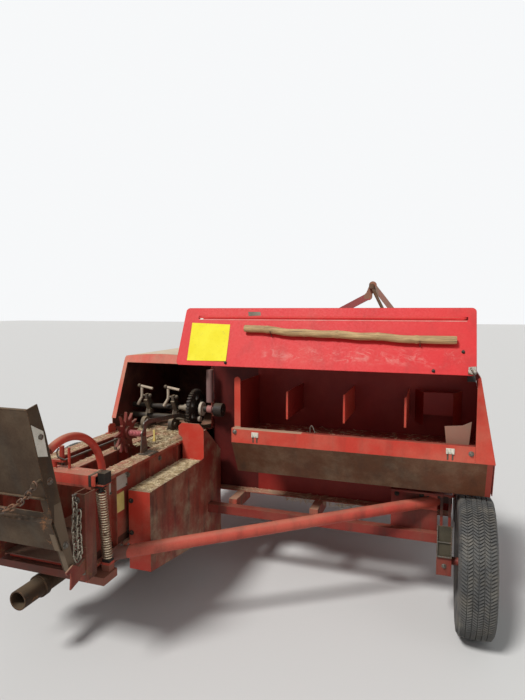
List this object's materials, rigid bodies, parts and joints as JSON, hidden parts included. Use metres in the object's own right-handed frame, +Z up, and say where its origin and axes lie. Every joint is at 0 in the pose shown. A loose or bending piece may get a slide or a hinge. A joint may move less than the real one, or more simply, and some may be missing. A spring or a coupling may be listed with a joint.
{
  "type": "small square baler",
  "caption": "Towed baler: pickup at the right, press chamber at the left with folded chute, knotters under a hood, twine box with raised lid.",
  "frame": {"origin": "middle of the outline on the ground, with the chute folded and the drawbar in its transport place", "axes": "+X to the right of the machine as it travels, +Y towards the drawbar, +Z up"},
  "size_m": [2.526, 4.7081, 1.804],
  "materials": {
    "red_paint": "faded red paint with dust, chips and rust",
    "old_red_paint": "dull red paint, dusty and rusting",
    "rusty_steel": "brown rust over worn paint",
    "cast_iron": "oily dark castings with dust",
    "chain_steel": "rusty chain links",
    "bare_steel": "worn bare steel",
    "pole_wood": "weathered round wood",
    "tyre_rubber": "dusty black rubber",
    "wheel_rim": "dusty rusting rim"
  },
  "bodies": {
    "root": {"chamber_wall_left": "old_red_paint", "chamber_wall_right": "old_red_paint", "chamber_wall_front": "old_red_paint", "chamber_floor": "old_red_paint", "chamber_top": "old_red_paint", "end_plates": "red_paint", "density_beams": "red_paint", "density_springs": "rusty_steel", "density_cranks": "red_paint", "rear_hoop": "red_paint", "hitch_tube": "rusty_steel", "stay_bar": "old_red_paint", "axle_beam": "red_paint", "axle_legs": "old_red_paint", "needle_guard": "red_paint", "needle_yoke": "rusty_steel", "knotter_hood": "red_paint", "knotter_left": "cast_iron", "knotter_right": "cast_iron", "knotter_shaft": "cast_iron", "knotter_post": "red_paint", "trip_arm": "rusty_steel", "star_bracket": "red_paint", "box_shell": "red_paint", "box_rail": "red_paint", "under_panel": "old_red_paint", "box_side": "red_paint", "box_dividers": "red_paint", "feed_table": "old_red_paint", "feed_cover": "red_paint", "feeder_arm": "red_paint", "feeder_fork": "rusty_steel", "front_frame": "red_paint", "gearbox": "cast_iron", "crank_cover": "red_paint", "plunger": "cast_iron", "flywheel_guard": "red_paint"},
    "star_wheel": {"star_wheel": "cast_iron"},
    "flywheel": {"flywheel": "red_paint"},
    "drawbar": {"drawbar": "red_paint", "hitch_eye": "cast_iron"},
    "jack": {"jack_leg": "bare_steel"},
    "lid": {"lid_shell": "red_paint", "lid_bar": "pole_wood"},
    "chute": {"chute_tray": "rusty_steel", "chute_chain": "chain_steel"},
    "pickup": {"pickup_frame": "old_red_paint", "pickup_bands": "red_paint", "windguard": "red_paint"},
    "reel": {"pickup_reel": "rusty_steel"},
    "gauge_wheel": {"gauge_tyre": "tyre_rubber", "gauge_rim": "wheel_rim"},
    "wheel_right": {"tyre_right": "tyre_rubber", "rim_right": "wheel_rim"},
    "wheel_left": {"tyre_left": "tyre_rubber", "rim_left": "wheel_rim"}
  },
  "joints": [
    {"name": "wheel_right_spin", "type": "hinge", "parent": "root", "child": "wheel_right", "pos_m": [1.178, -1.11984, 0.341], "axis": [1, 0, 0], "continuous": true},
    {"name": "wheel_left_spin", "type": "hinge", "parent": "root", "child": "wheel_left", "pos_m": [-1.138, -1.11984, 0.38], "axis": [1, 0, 0], "continuous": true},
    {"name": "pickup_lift", "type": "hinge", "parent": "root", "child": "pickup", "pos_m": [0.102, -0.31984, 0.44], "axis": [1, 0, 0], "range_deg": [0, 14]},
    {"name": "reel_spin", "type": "hinge", "parent": "pickup", "child": "reel", "pos_m": [0.302, 0.14016, 0.395], "axis": [1, 0, 0], "continuous": true},
    {"name": "gauge_wheel_spin", "type": "hinge", "parent": "pickup", "child": "gauge_wheel", "pos_m": [1.164, 0.23016, 0.216], "axis": [1, 0, 0], "continuous": true},
    {"name": "drawbar_swing", "type": "hinge", "parent": "root", "child": "drawbar", "pos_m": [-0.788, 0.93016, 0.38], "axis": [0, 0, 1], "range_deg": [0, 30]},
    {"name": "jack_slide", "type": "slide", "parent": "drawbar", "child": "jack", "axis": [0, 0, 1], "range_m": [0, 0.25]},
    {"name": "flywheel_spin", "type": "hinge", "parent": "root", "child": "flywheel", "pos_m": [-0.698, 1.33016, 0.78], "axis": [0, 1, 0], "continuous": true},
    {"name": "star_wheel_spin", "type": "hinge", "parent": "root", "child": "star_wheel", "pos_m": [-0.605, -1.46984, 0.955], "axis": [1, 0, 0], "continuous": true},
    {"name": "lid_hinge", "type": "hinge", "parent": "root", "child": "lid", "pos_m": [0.302, -0.50984, 1.245], "axis": [1, 0, 0], "range_deg": [0, 25]},
    {"name": "chute_hinge", "type": "hinge", "parent": "root", "child": "chute", "pos_m": [-0.698, -2.12484, 0.52], "axis": [1, 0, 0], "range_deg": [0, 78]}
  ]
}
